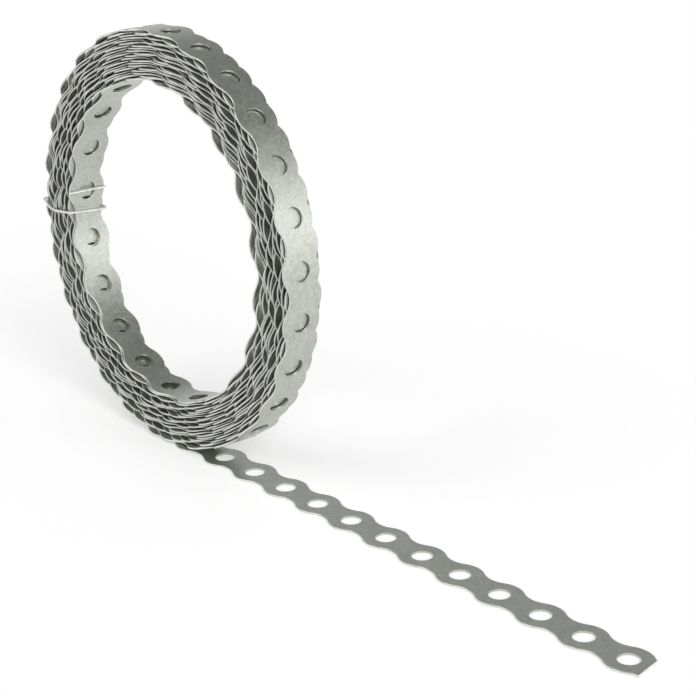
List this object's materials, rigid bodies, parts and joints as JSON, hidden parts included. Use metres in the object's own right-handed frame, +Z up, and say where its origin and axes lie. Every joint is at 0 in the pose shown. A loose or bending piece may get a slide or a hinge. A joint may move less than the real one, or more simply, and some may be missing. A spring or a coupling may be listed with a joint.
{
  "type": "perforated steel strap coil",
  "caption": "Coil of galvanised perforated steel fixing strap with wavy edges, standing on its rim, loose end on the floor, tied with wire.",
  "frame": {"origin": "on the floor under the object, at the middle of its length and of the strap's width", "axes": "+X along the loose end, away from the coil; +Y along the coil's axis, away from the side with the single wire strand; +Z up"},
  "size_m": [0.344, 0.0194, 0.169],
  "materials": {
    "galvanised_strap": "galvanised, dull satin with fine mottling",
    "galvanised_wire": "galvanised wire, satin"
  },
  "bodies": {
    "root": {"perforated_strap": "galvanised_strap", "tie_wire": "galvanised_wire"}
  },
  "joints": []
}
